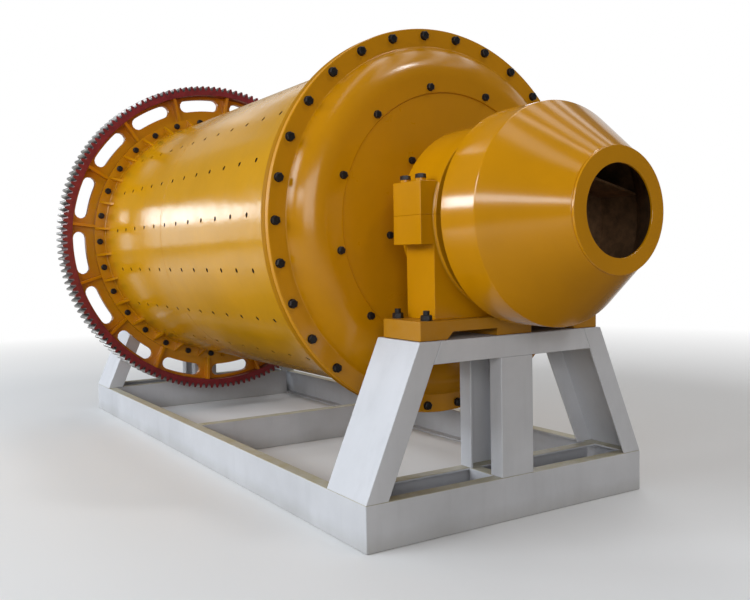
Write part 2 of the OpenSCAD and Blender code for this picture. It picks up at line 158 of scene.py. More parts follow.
class MillColours(bpy.types.PropertyGroup):
    """Colours of the mill's paints and metals, in linear light."""

    yellow: a_colour("Machine yellow", "Paint of the drum and of the bearings", 0.560, 0.240, 0.001)
    shell: a_colour("Shell yellow", "Paint of the rolled shell, a little paler", 0.580, 0.280, 0.002)
    orange: a_colour("Web orange", "Paint of the ring gear's web", 0.560, 0.190, 0.003)
    red: a_colour("Rim red", "Primer on the side of the gear rim", 0.20, 0.016, 0.020)
    white: a_colour("Stand white", "Paint of the stand", 0.61, 0.62, 0.655)
    beige: a_colour("Flange beige", "Tint on the upper flanges of the base frame", 0.46, 0.42, 0.28)
    brown: a_colour("Feeder brown", "Primer inside the feeder", 0.230, 0.125, 0.060)
    steel: a_colour("Bare steel", "Machined steel of the teeth and the journals", 0.52, 0.50, 0.48)
    black: a_colour("Bolt black", "Black finish of the bolts", 0.014, 0.013, 0.014)


def sizes():
    return bpy.context.scene.mill_sizes


def colours():
    return bpy.context.scene.mill_colours


# Node trees

class Graph:
    """A short way to write a node tree."""

    def __init__(self, tree):
        self.tree = tree

    def add(self, kind, **values):
        node = self.tree.nodes.new(kind)
        for key, value in values.items():
            setattr(node, key, value)
        return node

    def plug(self, socket, value):
        if isinstance(value, bpy.types.NodeSocket):
            self.tree.links.new(value, socket)
        else:
            socket.default_value = value

    def get(self, kind, plugs=None, output=0, **values):
        """The output of a new node, with its inputs plugged by name or number."""
        node = self.add(kind, **values)
        for key, value in (plugs or {}).items():
            self.plug(node.inputs[key], value)
        return node.outputs[output]

    def maths(self, operation, a, b=0.0):
        return self.get("ShaderNodeMath", {0: a, 1: b}, operation=operation)


class Nodes(Graph):
    """The node tree of one material, round its shader."""

    def __init__(self, name):
        self.material = bpy.data.materials.new(name)
        self.material.use_nodes = True
        super().__init__(self.material.node_tree)
        self.tree.nodes.clear()
        self.shader = self.add("ShaderNodeBsdfPrincipled")
        self.surface = self.add("ShaderNodeOutputMaterial").inputs["Surface"]
        self.plug(self.surface, self.shader.outputs["BSDF"])
        self.place = self.get("ShaderNodeTexCoord", output="Object")

    def mapped(self, location, scale):
        return self.get("ShaderNodeMapping", {"Location": location, "Scale": scale, "Vector": self.place})

    def noise(self, scale, detail=4.0, rough=0.5, stretch=None):
        place = self.mapped((0, 0, 0), stretch) if stretch else self.place
        return self.get("ShaderNodeTexNoise", {"Scale": scale, "Detail": detail, "Roughness": rough,
                                               "Vector": place}, "Fac")

    def axis_radius(self):
        """Distance from the mill axis."""
        across = self.mapped((0, 0, -AXIS_HEIGHT), (0, 1, 1))
        return self.get("ShaderNodeVectorMath", {0: across}, "Value", operation="LENGTH")

    def along(self, axis):
        return self.get("ShaderNodeSeparateXYZ", {0: self.place}, axis)

    def fade(self, value, low, high, start=0.0, end=1.0):
        """Turns a value from low to high into one from start to end."""
        return self.get("ShaderNodeMapRange", {"Value": value, "From Min": low, "From Max": high,
                                               "To Min": start, "To Max": end}, "Result")

    def mix(self, factor, a, b):
        return self.get("ShaderNodeMix", {0: factor, 6: a, 7: b}, 2, data_type="RGBA")

    def bump(self, height, strength, distance, below=None):
        plugs = {"Strength": strength, "Distance": distance, "Height": height}
        if below:
            plugs["Normal"] = below
        return self.get("ShaderNodeBump", plugs, "Normal")

    def finish(self, colour, rough, normal=None, metallic=0.0, specular=0.5):
        """Plugs the shader and returns the material."""
        for label, value in (("Base Color", colour), ("Roughness", rough), ("Metallic", metallic),
                             ("Specular IOR Level", specular)):
            self.plug(self.shader.inputs[label], value)
        if normal:
            self.plug(self.shader.inputs["Normal"], normal)
        return self.material


class Tree(Graph):
    """A geometry node tree with named inputs."""

    def __init__(self, name):
        super().__init__(bpy.data.node_groups.new(name, "GeometryNodeTree"))
        self.sockets = {}
        self.tree.interface.new_socket("Geometry", in_out="OUTPUT", socket_type="NodeSocketGeometry")
        self.given = self.add("NodeGroupInput")

    def ask(self, label, kind, value=None):
        """A named input. Returns the socket that carries it inside the tree."""
        item = self.tree.interface.new_socket(label, in_out="INPUT", socket_type="NodeSocket" + kind)
        if value is not None:
            item.default_value = value
        self.sockets[label] = item.identifier
        return self.given.outputs[label]

    def about_axis(self, x, angle, radius, height):
        """A point at an angle from the top, on a circle round the mill axis."""
        y = self.maths("MULTIPLY", self.maths("SINE", angle), self.maths("MULTIPLY", radius, -1.0))
        z = self.maths("ADD", height, self.maths("MULTIPLY", self.maths("COSINE", angle), radius))
        return self.get("ShaderNodeCombineXYZ", {"X": x, "Y": y, "Z": z})

    def copies(self, points, thing, turn=(0, 0, 0)):
        """An object's shape at every point."""
        shape = self.get("GeometryNodeObjectInfo", {"Object": thing}, "Geometry")
        return self.get("GeometryNodeInstanceOnPoints", {"Points": points, "Instance": shape, "Rotation": turn})

    def close(self, geometry, material):
        """Realizes the instances, sets the material and ends the tree."""
        real = self.get("GeometryNodeRealizeInstances", {"Geometry": geometry})
        done = self.get("GeometryNodeSetMaterial", {"Geometry": real, "Material": material})
        self.plug(self.add("NodeGroupOutput").inputs[0], done)
        return self

    def make(self, name, values, start=None):
        """Runs the tree on an object and returns the result as a plain mesh."""
        start = start or put(name + "_rough", bpy.data.meshes.new(name + "_rough"))
        change = start.modifiers.new("making", "NODES")
        change.node_group = self.tree
        for label, value in values.items():
            change[self.sockets[label]] = value
        bpy.context.view_layer.update()
        return plain_mesh(start, name)


# Materials

MADE = {}


def finish_of(maker):
    """Each material is made once."""
    if maker not in MADE:
        MADE[maker] = maker()
    return MADE[maker]


def tone(colour, share=1.0):
    """A colour made darker or lighter by a share, with its alpha."""
    return tuple(min(1.0, c * share) for c in colour[:3]) + (1.0,)


def painted(name, colour, rough, sag=1.0, dent=0.0):
    """Sprayed gloss paint: cloudy colour, uneven gloss, a fine peel, shallow dents and a slow waviness.

    Returns a new material's nodes, its colour, its roughness and its surface."""
    nodes = Nodes(name)
    clouds = nodes.noise(1.7, 3.0, 0.6)
    spray = nodes.noise(24.0, 5.0, 0.65)
    body = nodes.mix(nodes.fade(clouds, 0.30, 0.70), tone(colour, 0.92), tone(colour, 1.06))
    body = nodes.mix(nodes.fade(spray, 0.45, 0.80, 0.0, 0.12), body, tone(colour, 0.78))
    gloss = nodes.fade(nodes.noise(6.0, 4.0, 0.7), 0.3, 0.7, rough * 0.85, rough * 1.25)
    peel = nodes.bump(nodes.noise(170.0, 2.0), 0.05 * sag, 0.001)
    dents = nodes.bump(nodes.noise(14.0, 3.0, 0.6), dent, 0.004, peel)
    wave = nodes.bump(nodes.noise(2.6, 1.0), 0.10 * sag, 0.010, dents)
    return nodes, body, gloss, wave


def gloss_yellow():
    """Gloss paint of the machine's plates and castings."""
    nodes, body, gloss, wave = painted("machine_yellow", colours().yellow, 0.17)
    return nodes.finish(body, gloss, wave, specular=0.45)


def cover_paint():
    """The covers' gloss paint: even on the dish, and a little paler and duller on the rim, where the paler colour
    is a painted highlight of the rim's edge.
    """
    nodes, body, gloss, wave = painted("cover_paint", colours().yellow, 0.18, 0.6)
    rim = nodes.fade(nodes.axis_radius(), FLANGE_RADIUS - 0.003, FLANGE_RADIUS - 0.001)
    # Painted highlight: the rim's colour is made paler, as if its edge caught the light.
    body = nodes.mix(rim, body, tone(colours().yellow, 1.05))
    gloss = nodes.maths("ADD", gloss, nodes.maths("MULTIPLY", rim, 0.3))
    return nodes.finish(body, gloss, wave, specular=0.45)


def sole_paint():
    """The sole plates' paint, dulled by dust."""
    nodes, body, gloss, wave = painted("sole_paint", tone(colours().yellow, 0.80), 0.34)
    dust = nodes.fade(nodes.noise(9.0, 5.0, 0.65), 0.35, 0.75, 0.0, 0.08)
    return nodes.finish(nodes.mix(dust, body, tone(colours().beige)), gloss, wave, specular=0.35)


def flange_paint():
    """The feed flange's rim, left duller and darker than the plates beside it."""
    nodes, body, gloss, wave = painted("flange_paint", tone(colours().yellow, 0.68), 0.50)
    return nodes.finish(body, gloss, wave, specular=0.05)


def shell_paint():
    """The shell's gloss paint: browner near the gear flange with a painted reflection of the orange flange and
    painted shade from its gussets, and bare steel inside, darkened further as painted shade.
    """
    nodes, body, gloss, wave = painted("shell_paint", colours().shell, 0.17, 2.2, 0.30)
    # Painted reflection and painted shade: the shell is tinted orange near the gear flange, as if the flange's
    # orange face mirrored in it and its gussets shaded it.
    ragged = nodes.fade(nodes.noise(4.0, 3.0), 0.3, 0.7, -0.03, 0.03)
    edge = nodes.maths("ADD", nodes.along("X"), ragged)
    near = nodes.fade(edge, GEAR_FLANGE_INSIDE + 0.10, GEAR_FLANGE_INSIDE + 0.22, 0.45, 0.0)
    body = nodes.mix(near, body, tone(colours().orange))
    # Inside the plate: bare steel, darkened to near black as painted shade, so that the liner holes read dark.
    inside = nodes.maths("LESS_THAN", nodes.axis_radius(), SHELL_RADIUS - 0.002)
    body = nodes.mix(inside, body, tone(colours().brown, 0.17))
    gloss = nodes.maths("MAXIMUM", gloss, nodes.maths("MULTIPLY", inside, 0.8))
    return nodes.finish(body, gloss, wave, specular=0.45)


def web_orange():
    """Paint of the web: more orange than the drum, golden towards the flange, thick and wavy."""
    nodes, body, gloss, wave = painted("web_orange", colours().orange, 0.20, 2.0)
    golden = nodes.fade(nodes.axis_radius(), FLANGE_RADIUS + 0.16, FLANGE_RADIUS + 0.02)
    patchy = nodes.fade(nodes.noise(3.0, 3.0, 0.6), 0.25, 0.6, 0.4, 1.0)
    body = nodes.mix(nodes.maths("MULTIPLY", golden, patchy), body, tone(colours().yellow))
    return nodes.finish(body, gloss, wave)


def gear_finish():
    """Bare cut teeth outside the rim, with painted shade at their roots, and red primer on its sides."""
    nodes = Nodes("gear_teeth_and_rim")
    low, high = span("ring_gear")
    half = (high - low) / 2
    root = radius_of("ring_gear") - GEAR_TOOTH
    side = nodes.maths("ABSOLUTE", nodes.maths("SUBTRACT", nodes.along("X"), (low + high) / 2))
    cut = nodes.maths("SUBTRACT", 1.0, nodes.fade(side, half - 0.0016, half - 0.0012))
    reach = nodes.axis_radius()
    toothed = nodes.maths("MULTIPLY", nodes.fade(reach, root - 0.002, root + 0.002), cut)
    grain = nodes.noise(60.0, 5.0, 0.7, stretch=(0.15, 1, 1))
    steel = nodes.mix(nodes.fade(grain, 0.35, 0.70), tone(colours().steel, 0.50), tone(colours().steel, 1.35))
    # Painted shade: the steel darkens towards the roots, where shade falls between the teeth.
    steel = nodes.mix(nodes.fade(reach, root + 0.006, root + 0.030), tone(colours().steel, 0.10), steel)
    primer = nodes.mix(nodes.fade(nodes.noise(9.0, 5.0, 0.7), 0.35, 0.7),
                       tone(colours().red, 0.75), tone(colours().red, 1.25))
    rough = nodes.fade(grain, 0.3, 0.7, 0.26, 0.42)
    return nodes.finish(nodes.mix(toothed, primer, steel), rough, nodes.bump(grain, 0.2, 0.0006),
                        metallic=nodes.maths("MULTIPLY", toothed, 0.9))


def bolt_black():
    """Black finish, rubbed a little paler in places."""
    nodes = Nodes("bolt_black")
    wear = nodes.fade(nodes.noise(180.0, 4.0, 0.7), 0.45, 0.75)
    body = nodes.mix(wear, tone(colours().black), tone(colours().black, 3.2))
    pits = nodes.bump(nodes.noise(400.0, 2.0), 0.2, 0.0005)
    return nodes.finish(body, nodes.fade(wear, 0, 1, 0.36, 0.55), pits, metallic=0.55)


def trunnion_paint():
    """Yellow paint, and bright ground steel where the journal runs."""
    nodes, body, gloss, wave = painted("trunnion_paint", colours().yellow, 0.30)
    reach = nodes.maths("ABSOLUTE", nodes.along("X"))
    ground_from = span("feed_bush")[0] - 0.05
    bare = nodes.maths("MULTIPLY", nodes.fade(reach, ground_from - 0.004, ground_from),
                       nodes.fade(nodes.axis_radius(), NECK_RADIUS - 0.005, NECK_RADIUS - 0.001))
    rings = nodes.noise(90.0, 4.0, 0.6, stretch=(1, 0.05, 0.05))
    metal = nodes.mix(nodes.fade(rings, 0.35, 0.7), tone(colours().steel, 0.5), tone(colours().steel, 0.9))
    return nodes.finish(nodes.mix(bare, body, metal), gloss, wave, specular=0.4)


def brown_surface(nodes, dark=0.5, pale=1.35):
    """Rusty primer, in patches from a dark to a pale share of the brown."""
    rust = nodes.noise(14.0, 6.0, 0.75)
    return nodes.mix(nodes.fade(rust, 0.35, 0.7), tone(colours().brown, dark), tone(colours().brown, pale))


def feeder_paint():
    """Yellow outside, brown primer inside the plate of the band and of the cone."""
    nodes, body, _, wave = painted("feeder_paint", colours().yellow, 0.26)
    start, end = span("feeder_shell")
    outside = nodes.fade(nodes.along("X"), start + FEEDER_BAND, end,
                         radius_of("feeder_shell"), radius_of("feeder_mouth"))
    inside = nodes.maths("LESS_THAN", nodes.axis_radius(), nodes.maths("SUBTRACT", outside, 0.006))
    body = nodes.mix(inside, body, brown_surface(nodes))
    return nodes.finish(body, nodes.fade(inside, 0, 1, 0.15, 0.6), wave)


def feeder_brown():
    """The scoop's primer, paler than the feeder's."""
    nodes = Nodes("feeder_brown")
    return nodes.finish(brown_surface(nodes, 1.2, 2.6), 0.7, nodes.bump(nodes.noise(60.0, 4.0), 0.3, 0.002))


def bearing_metal():
    """Turned bearing metal."""
    nodes = Nodes("bearing_metal")
    rings = nodes.noise(50.0, 3.0, 0.6, stretch=(1, 0.1, 0.1))
    body = nodes.mix(rings, (0.30, 0.22, 0.08, 1), (0.48, 0.38, 0.16, 1))
    return nodes.finish(body, 0.35, nodes.bump(rings, 0.2, 0.0006), metallic=1.0)


def rolled_white(name, base):
    """White paint on rolled steel: faint streaks, and on the base a darker beige towards the bottom and beige top
    flanges.
    """
    nodes = Nodes(name)
    white, beige = colours().white, colours().beige
    clouds = nodes.noise(2.4, 4.0, 0.6)
    streaks = nodes.noise(7.0, 5.0, 0.65, stretch=(1, 1, 0.12))
    body = nodes.mix(nodes.fade(clouds, 0.3, 0.7), tone(white, 0.93), tone(white, 1.05))
    body = nodes.mix(nodes.fade(streaks, 0.52, 0.80, 0.0, 0.22), body, tone(white, 0.62))
    if base:
        height = nodes.along("Z")
        top = nodes.fade(height, BASE_HEIGHT - 0.004, BASE_HEIGHT - 0.001)
        grit = nodes.fade(nodes.noise(11.0, 6.0, 0.7), 0.25, 0.65, 0.45, 1.0)
        body = nodes.mix(nodes.maths("MULTIPLY", top, grit), body, tone(beige))
        ragged = nodes.maths("ADD", height, nodes.fade(clouds, 0, 1, -0.05, 0.05))
        body = nodes.mix(nodes.fade(ragged, 0.0, 0.10, 0.22, 0.0), body, tone(beige, 0.55))
    peel = nodes.bump(nodes.noise(140.0, 2.0), 0.10, 0.001)
    scale = nodes.bump(nodes.noise(18.0, 4.0, 0.6), 0.10, 0.002, peel)
    return nodes.finish(body, nodes.fade(clouds, 0.3, 0.7, 0.50, 0.65), scale, specular=0.35)


def stand_white():
    """White paint of the legs, the posts and the top beams."""
    return rolled_white("stand_white", False)


def base_white():
    """White paint of the base frame."""
    return rolled_white("base_white", True)


# Meshes

def put(name, data):
    """A new object in the scene."""
    thing = bpy.data.objects.new(name, data)
    bpy.context.scene.collection.objects.link(thing)
    return thing


def put_away(*things):
    """Removes objects that only served to make others."""
    for thing in things:
        bpy.data.objects.remove(thing, do_unlink=True)


def plain_mesh(thing, name):
    """A plain, shaded copy of an object with its modifiers worked in. The object itself is removed."""
    graph = bpy.context.evaluated_depsgraph_get()
    mesh = bpy.data.meshes.new_from_object(thing.evaluated_get(graph), depsgraph=graph)
    mesh.name = name
    put_away(thing)
    return put(name, mesh)


def hold(name, build, material=None):
    """A new mesh object from a bmesh."""
    mesh = bpy.data.meshes.new(name)
    build.to_mesh(mesh)
    build.free()
    if material:
        mesh.materials.append(material)
    return put(name, mesh)


def shade(build, angle=32.0):
    """Smooth faces, with edges kept sharp past an angle."""
    limit = math.radians(angle)
    for face in build.faces:
        face.smooth = True
    for edge in build.edges:
        edge.smooth = edge.is_manifold and edge.calc_face_angle(0.0) < limit


def weighted(thing, name):
    """Flat faces keep their shading beside small rounds."""
    change = thing.modifiers.new("even_shading", "WEIGHTED_NORMAL")
    change.keep_sharp = True
    change.weight = 80
    return plain_mesh(thing, name)


def settle(thing, body, slot, *nodes):
    """Tells the frame which body a piece rides on, and hides the CAD nodes that it stands for. The slot, a
    finish's name, is not used.
    """
    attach(thing, body)
    if nodes:
        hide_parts(*nodes)


def on_circle(x, radius, angle):
    """A point at an angle from the top, on a circle round the mill axis."""
    return x, -radius * math.sin(angle), AXIS_HEIGHT + radius * math.cos(angle)


def eased(points, size):
    """A closed outline with each sharp corner turned into a short round."""
    blunt, steps = math.radians(25), 3
    made = []
    for i, here in enumerate(points):
        here, before, after = Vector(here), Vector(points[i - 1]), Vector(points[(i + 1) % len(points)])
        back, on = before - here, after - here
        if min(back.length, on.length) < 1e-6:
            continue
        if math.pi - back.angle(on) < blunt:
            made.append(here)
            continue
        cut = min(size, back.length * 0.45, on.length * 0.45)
        start, end = here + back.normalized() * cut, here + on.normalized() * cut
        for k in range(steps + 1):
            t = k / steps
            made.append(start * (1 - t) ** 2 + here * 2 * t * (1 - t) + end * t ** 2)
    return made


def turned(name, outline, paint, ease=0.003):
    """A closed outline of (along, outward) points, turned about the mill axis."""
    segments = 192
    build = bmesh.new()
    points = eased(outline, ease)
    rings = [[build.verts.new(on_circle(x, radius, 2 * math.pi * k / segments)) for x, radius in points]
             for k in range(segments)]
    for ring, following in zip(rings, rings[1:] + rings[:1]):
        for i in range(len(points)):
            j = (i + 1) % len(points)
            build.faces.new((ring[i], ring[j], following[j], following[i]))
    bmesh.ops.recalc_face_normals(build, faces=build.faces)
    shade(build)
    return weighted(hold(name + "_rough", build, finish_of(paint)), name)


def plain_ring(name, node, bore, paint, ease=0.003):
    """A flat ring as thick and as wide as its CAD node."""
    (low, high), rim = span(node), radius_of(node)
    return turned(name, [(low, bore), (low, rim), (high, rim), (high, bore)], paint, ease)


def mirrored(outline):
    """The same outline at the other end of the mill."""
    return [(-x, r) for x, r in reversed(outline)]


def softened(name, node, paint, ease, steps=2, outer_only=False):
    """A copy of a CAD node with its edges, or only its outer corners, rounded a little."""
    sharp = math.radians(30.0)
    build = bmesh.new()
    build.from_mesh(frame["nodes"][node].data)
    bmesh.ops.remove_doubles(build, verts=build.verts, dist=2e-5)
    bmesh.ops.dissolve_limit(build, angle_limit=math.radians(0.6), verts=build.verts, edges=build.edges)
    for face in build.faces:
        face.smooth = True
        face.material_index = 0
    weight = build.edges.layers.float.new("bevel_weight_edge")
    for edge in build.edges:
        if edge.is_manifold:
            turn = edge.calc_face_angle_signed(0.0)
            edge[weight] = float((turn if outer_only else abs(turn)) > sharp)
    rough = hold(name + "_rough", build, finish_of(paint))
    rounding = rough.modifiers.new("rounding", "BEVEL")
    rounding.width = ease
    rounding.segments = steps
    rounding.limit_method = "WEIGHT"
    rounding.use_clamp_overlap = True
    return weighted(rough, name)


# Geometry node trees

def ring_tree():
    """One fastener, repeated round the mill axis in a plane across it."""
    tree = Tree("fastener_ring")
    fastener = tree.ask("Fastener", "Object")
    count = tree.ask("Count", "Int", 12)
    circle = tree.ask("Circle radius", "Float", 1.0)
    first = tree.ask("First angle", "Float", 0.0)
    plane = tree.ask("Plane", "Float", 0.0)
    facing = tree.ask("Facing", "Float", 1.0)
    height = tree.ask("Axis height", "Float", AXIS_HEIGHT)
    finish = tree.ask("Finish", "Material")
    points = tree.get("GeometryNodeMeshLine", {"Count": count}, mode="OFFSET")
    step = tree.maths("DIVIDE", 2 * math.pi, count)
    angle = tree.maths("ADD", first, tree.maths("MULTIPLY", tree.get("GeometryNodeInputIndex"), step))
    place = tree.about_axis(plane, angle, circle, height)
    points = tree.get("GeometryNodeSetPosition", {"Geometry": points, "Position": place})
    half_turn = tree.maths("MULTIPLY", tree.maths("SUBTRACT", 1.0, facing), math.pi / 2)
    turn = tree.get("ShaderNodeCombineXYZ", {"X": tree.maths("MULTIPLY", angle, facing), "Z": half_turn})
    twist = tree.get("FunctionNodeRandomValue", {2: -0.5, 3: 0.5, "Seed": 7}, 1, data_type="FLOAT")
    own = tree.get("ShaderNodeCombineXYZ", {"X": twist})
    placed = tree.get("GeometryNodeRotateInstances", {"Instances": tree.copies(points, fastener, turn),
                                                      "Rotation": own, "Local Space": True})
    return tree.close(placed, finish)


def block_tree():
    """One fastener at the corners of a rectangle, standing up."""
    tree = Tree("fastener_block")
    fastener = tree.ask("Fastener", "Object")
    length = tree.ask("Length", "Float", 0.25)
    width = tree.ask("Width", "Float", 1.0)
    middle = tree.ask("Middle", "Vector", (0, 0, 0))
    finish = tree.ask("Finish", "Material")
    corners = tree.get("GeometryNodeMeshGrid",
                       {"Size X": length, "Size Y": width, "Vertices X": 2, "Vertices Y": 2})
    corners = tree.get("GeometryNodeTransform", {"Geometry": corners, "Translation": middle})
    twist = tree.get("FunctionNodeRandomValue", {2: -0.6, 3: 0.6, "Seed": 3}, 1, data_type="FLOAT")
    turn = tree.get("ShaderNodeCombineXYZ", {"Z": twist})
    return tree.close(tree.copies(corners, fastener, turn), finish)


def plate_tree():
    """A flat tile of drilled plate, repeated along and round, then rolled into the shell."""
    tree = Tree("drilled_shell")
    tile = tree.ask("Drilled tile", "Object")
    edge = tree.ask("Plain tile", "Object")
    columns = tree.ask("Columns", "Int", 12)
    rows = tree.ask("Rows", "Int", 20)
    pitch = tree.ask("Pitch", "Float", 0.25)
    first = tree.ask("First angle", "Float", 0.0)
    radius = tree.ask("Radius", "Float", 1.0)
    height = tree.ask("Axis height", "Float", AXIS_HEIGHT)
    half = tree.ask("Half length", "Float", 1.8)
    finish = tree.ask("Finish", "Material")
    row_step = tree.maths("DIVIDE", 2 * math.pi, rows)

    def grid(across, along):
        length = tree.maths("MULTIPLY", tree.maths("SUBTRACT", across, 1.0), along)
        turn = tree.maths("MULTIPLY", tree.maths("SUBTRACT", rows, 1.0), row_step)
        return tree.get("GeometryNodeMeshGrid", {"Size X": length, "Size Y": turn,
                                                 "Vertices X": across, "Vertices Y": rows})

    middle = tree.maths("MULTIPLY", columns, pitch)
    side = tree.maths("ADD", half, tree.maths("DIVIDE", middle, 2.0))
    join = tree.add("GeometryNodeJoinGeometry")
    for piece in (tree.copies(grid(columns, pitch), tile), tree.copies(grid(2, side), edge)):
        tree.plug(join.inputs[0], piece)
    flat = tree.get("GeometryNodeRealizeInstances", {"Geometry": join.outputs[0]})
    split = tree.add("ShaderNodeSeparateXYZ")
    tree.plug(split.inputs[0], tree.get("GeometryNodeInputPosition"))
    x, y, z = split.outputs
    angle = tree.maths("ADD", y, tree.maths("ADD", first, tree.maths("DIVIDE", row_step, 2.0)))
    rolled = tree.about_axis(x, angle, tree.maths("ADD", radius, z), height)
    shell = tree.get("GeometryNodeSetPosition", {"Geometry": flat, "Position": rolled})
    shell = tree.get("GeometryNodeMergeByDistance", {"Geometry": shell, "Distance": 0.0002})
    return tree.close(shell, finish)


def bead_tree():
    """A weld bead along curves, with a ripple."""
    tree = Tree("weld_bead")
    path = tree.ask("Path", "Geometry")
    radius = tree.ask("Bead radius", "Float", 0.007)
    ripple = tree.ask("Ripple", "Float", 0.0016)
    finish = tree.ask("Finish", "Material")
    path = tree.get("GeometryNodeResampleCurve", {"Curve": path, "Length": 0.02}, mode="LENGTH")
    ring = tree.get("GeometryNodeCurvePrimitiveCircle", {"Resolution": 6, "Radius": radius})
    bead = tree.get("GeometryNodeCurveToMesh", {"Curve": path, "Profile Curve": ring, "Fill Caps": True})
    grain = tree.get("ShaderNodeTexNoise", {"Scale": 45.0, "Detail": 1.0})
    push = tree.maths("MULTIPLY", tree.maths("SUBTRACT", grain, 0.5), tree.maths("MULTIPLY", ripple, 2.0))
    normal = tree.get("GeometryNodeInputNormal")
    offset = tree.get("ShaderNodeVectorMath", {0: normal, "Scale": push}, operation="SCALE")
    bead = tree.get("GeometryNodeSetPosition", {"Geometry": bead, "Offset": offset})
    bead = tree.get("GeometryNodeSetShadeSmooth", {"Geometry": bead})
    return tree.close(bead, finish)


# Fasteners

def prism(build, sides, levels):
    """A closed prism along X, through levels of (place, radius)."""
    rings = [[build.verts.new((x, r * math.cos(2 * math.pi * k / sides), r * math.sin(2 * math.pi * k / sides)))
              for k in range(sides)] for x, r in levels]
    for lower, upper in zip(rings, rings[1:]):
        for k in range(sides):
            j = (k + 1) % sides
            build.faces.new((lower[k], lower[j], upper[j], upper[k]))
    build.faces.new(reversed(rings[0]))
    build.faces.new(rings[-1])


def disc(build, sides, radius, start, end):
    """A round disc along X, with a 1 mm edge."""
    edge = 0.001
    prism(build, sides, [(start, radius), (end - edge, radius), (end, radius - edge)])


def hardware(name, build, upright):
    """The finished object of a fastener. It stands on X = 0, or on Z = 0 if it is upright."""
    bmesh.ops.recalc_face_normals(build, faces=build.faces)
    if upright:
        bmesh.ops.rotate(build, verts=build.verts, matrix=Matrix.Rotation(-math.pi / 2, 3, "Y"))
    shade(build, 25.0)
    return hold(name, build)


def fastener(name, flats, head, stud=0.0, upright=False):
    """A hexagon on a thin washer, with a stud's end if it is a nut. Lengths are shares of the flats."""
    build = bmesh.new()
    washer = chamfer = flats * 0.07
    corner, top = flats / math.sqrt(3), washer + flats * head
    disc(build, 24, flats * 0.60, -0.001, washer)
    prism(build, 6, [(washer, corner), (top - chamfer, corner), (top, corner - chamfer * 1.6)])
    if stud:
        disc(build, 16, flats * 0.325, top - 0.004, top + flats * stud)
    return hardware(name, build, upright)


# Operators

class MILL_OT_shell(bpy.types.Operator):
    """Make the shell plate with its rows of liner bolt holes"""

    bl_idname = "mill.shell"
    bl_label = "Shell plate"

    half_patch = 0.028
    rim_points = 16

    def rim(self, build, radius, z):
        """Points round a hole, with its radius turned into an angle across the flat tile."""
        angles = [2 * math.pi * (k + 0.5) / self.rim_points for k in range(self.rim_points)]
        return [build.verts.new((radius * math.cos(a), radius * math.sin(a) / SHELL_RADIUS, z)) for a in angles]

    def tile(self, name, length, turn, drilled):
        """A flat tile with both faces of the plate, and a hole through its middle if it is drilled."""
        size = sizes()
        patch = [-self.half_patch, self.half_patch] if drilled else []
        lines_x = [-length / 2] + patch + [length / 2]
        lines_y = [-turn / 2] + [turn / 12 * k for k in (-5, -3, -1, 1, 3, 5)] + [turn / 2]
        build = bmesh.new()
        rims = []
        for z in (0.0, -size.plate):
            grid = [[build.verts.new((x, y, z)) for y in lines_y] for x in lines_x]
            rims.append(self.rim(build, size.hole_radius, z) if drilled else [])
            for i in range(len(lines_x) - 1):
                for j in range(len(lines_y) - 1):
                    corners = [grid[i][j], grid[i + 1][j], grid[i + 1][j + 1], grid[i][j + 1]]
                    if drilled and (i, j) == (1, 3):
                        self.fan(build, corners, rims[-1])
                    else:
                        build.faces.new(corners)
        upper, lower = rims
        for k in range(len(upper)):
            j = (k + 1) % len(upper)
            build.faces.new((upper[k], upper[j], lower[j], lower[k]))
        return hold(name, build)

    def fan(self, build, corners, rim):
        """Faces between the tile's middle square and the hole's rim."""
        low, right, high, left = corners
        for a, b, arc in ((right, high, (14, 15, 0, 1)), (high, left, (2, 3, 4, 5)),
                          (left, low, (6, 7, 8, 9)), (low, right, (10, 11, 12, 13))):
            build.faces.new([a, b] + [rim[k] for k in reversed(arc)])
        for corner, before, after in ((high, 1, 2), (left, 5, 6), (low, 9, 10), (right, 13, 14)):
            build.faces.new([corner, rim[after], rim[before]])

    def execute(self, context):
        size = sizes()
        turn = 2 * math.pi / size.hole_rows
        length = SHELL_TO - SHELL_FROM
        edge_length = (length - size.hole_columns * size.hole_pitch) / 2
        drilled = self.tile("drilled_tile", size.hole_pitch, turn, True)
        plain = self.tile("plain_tile", edge_length, turn, False)
        made = plate_tree().make("shell_rolled", {
            "Drilled tile": drilled, "Plain tile": plain, "Columns": size.hole_columns,
            "Rows": size.hole_rows, "Pitch": size.hole_pitch, "First angle": size.hole_turn,
            "Radius": SHELL_RADIUS, "Axis height": AXIS_HEIGHT, "Half length": length / 2,
            "Finish": finish_of(shell_paint)})
        put_away(drilled, plain)
        build = bmesh.new()
        build.from_mesh(made.data)
        bmesh.ops.recalc_face_normals(build, faces=build.faces)
        shade(build)
        build.to_mesh(made.data)
        build.free()
        settle(weighted(made, "shell_plate"), DRUM, "machine_paint", "shell")
        return {"FINISHED"}


